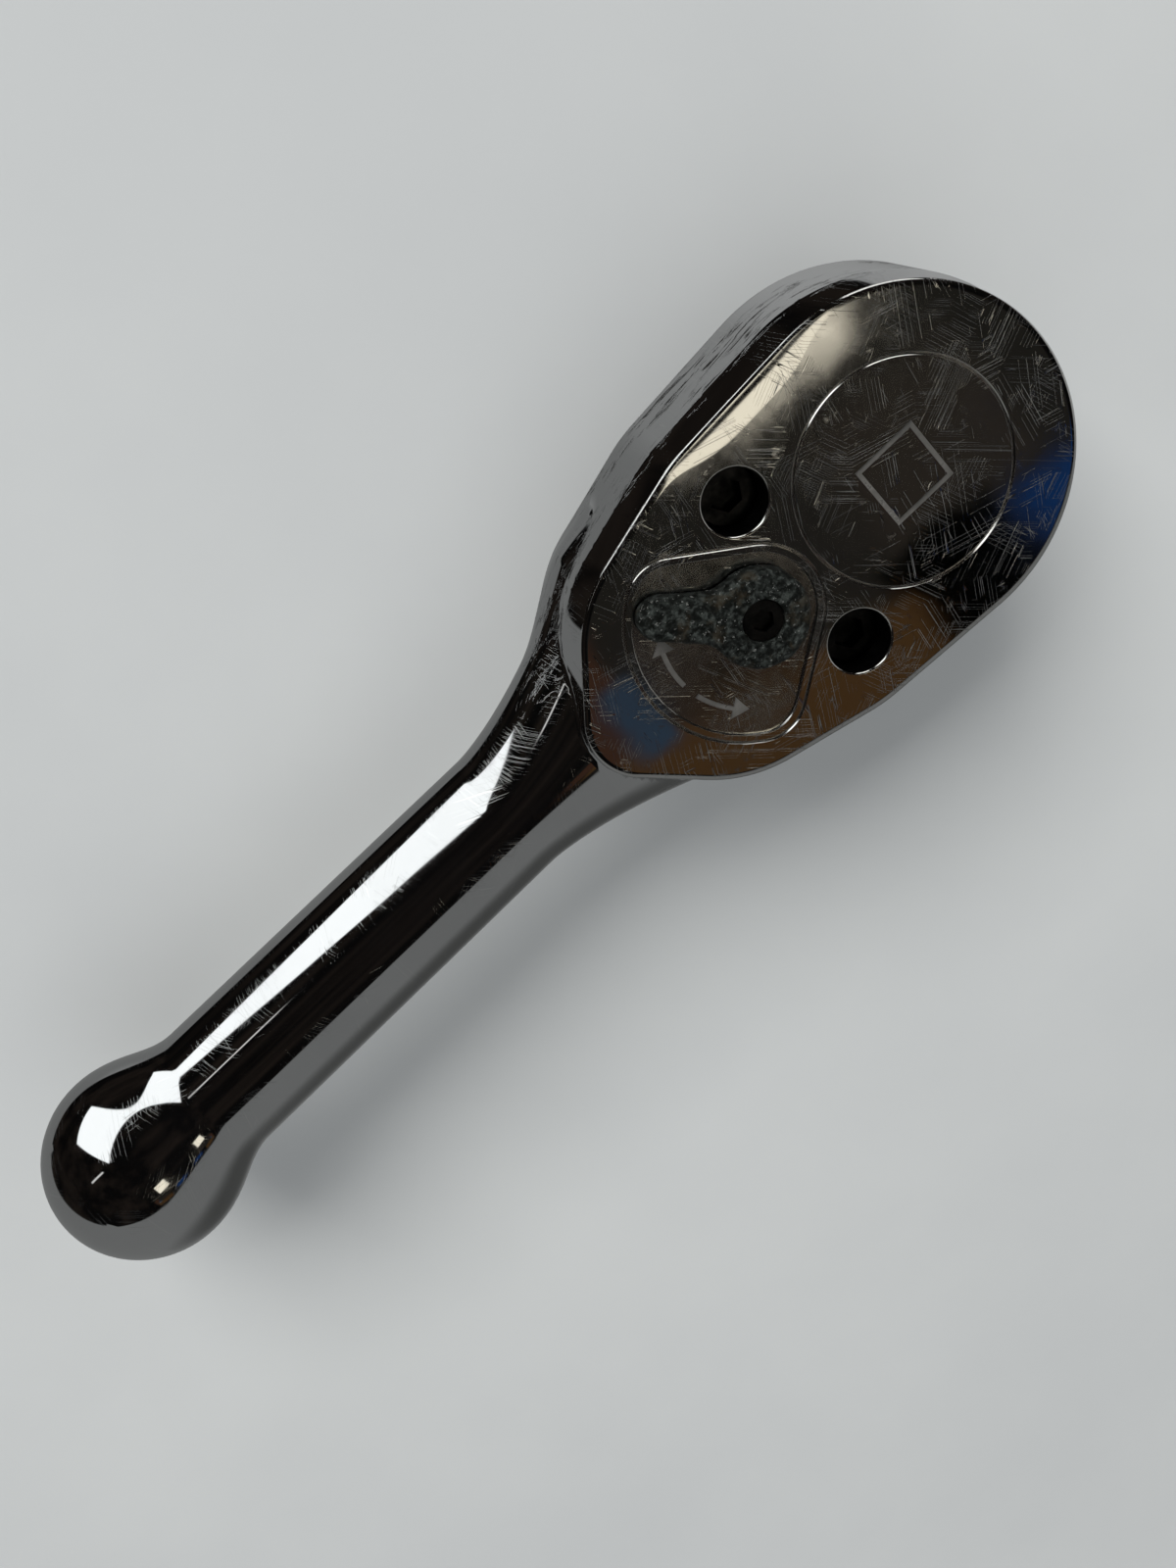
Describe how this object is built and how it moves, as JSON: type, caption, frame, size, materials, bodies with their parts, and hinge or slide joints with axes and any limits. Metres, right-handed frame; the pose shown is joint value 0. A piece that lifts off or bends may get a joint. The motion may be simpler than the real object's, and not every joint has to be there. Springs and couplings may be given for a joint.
{
  "type": "ratchet wrench",
  "caption": "Stubby chrome ratchet wrench with a pear-shaped head, a reversing lever on its face, a square drive under it and a short round handle ending in a ball.",
  "frame": {"origin": "centre of the square drive's end face", "axes": "+Z from the square drive up to the face with the reversing lever; +X along the handle, towards the ball; +Y completes a right-handed frame"},
  "size_m": [0.11, 0.031, 0.0263],
  "materials": {
    "chrome": "polished, worn and lightly scratched",
    "cover_steel": "satin",
    "black_steel": "black oxide, oily",
    "drive_steel": "satin, worn",
    "spring_steel": "bright",
    "bronze": "oily",
    "rubber": "matte",
    "lever_metal": "dull, corroded and pitted"
  },
  "bodies": {
    "housing": {"body": "chrome", "cover_plate": "cover_steel", "cover_screw_left": "black_steel", "cover_screw_right": "black_steel", "pawl_pin": "spring_steel", "thrust_washer": "bronze", "drive_seal": "rubber", "spindle_seal": "rubber", "spindle_washer": "spring_steel"},
    "drive": {"drive_gear": "drive_steel", "detent_spring": "spring_steel"},
    "detent": {"detent_ball": "drive_steel"},
    "selector": {"selector_spindle": "drive_steel", "reversing_lever": "lever_metal", "lever_screw": "black_steel", "plunger_spring": "spring_steel"},
    "plunger": {"plunger": "spring_steel"},
    "pawl": {"pawl": "drive_steel"}
  },
  "joints": [
    {"name": "drive_spin", "type": "hinge", "parent": "housing", "child": "drive", "pos_m": [0, 0, 0.016], "axis": [0, 0, 1], "continuous": true},
    {"name": "detent_press", "type": "slide", "parent": "drive", "child": "detent", "axis": [-1, 0, 0], "range_m": [0, 0.00075], "stiffness_N_per_m": 1200, "springref_m": -0.001, "deforming": ["detent_spring"]},
    {"name": "lever_turn", "type": "hinge", "parent": "housing", "child": "selector", "pos_m": [0.0157, 0, 0.024], "axis": [0, 0, 1], "range_deg": [0, 90]},
    {"name": "pawl_rock", "type": "hinge", "parent": "housing", "child": "pawl", "pos_m": [0.0108, 0, 0.016], "axis": [0, 0, 1], "range_deg": [-11.5, 0]},
    {"name": "plunger_press", "type": "slide", "parent": "selector", "child": "plunger", "axis": [0.7071, -0.7071, 0], "range_m": [0, 0.0006], "stiffness_N_per_m": 600, "springref_m": -0.001, "deforming": ["plunger_spring"]}
  ],
  "couplings": [
    {"joint": "pawl_rock", "follows": "lever_turn", "ratio": -0.1277}
  ]
}
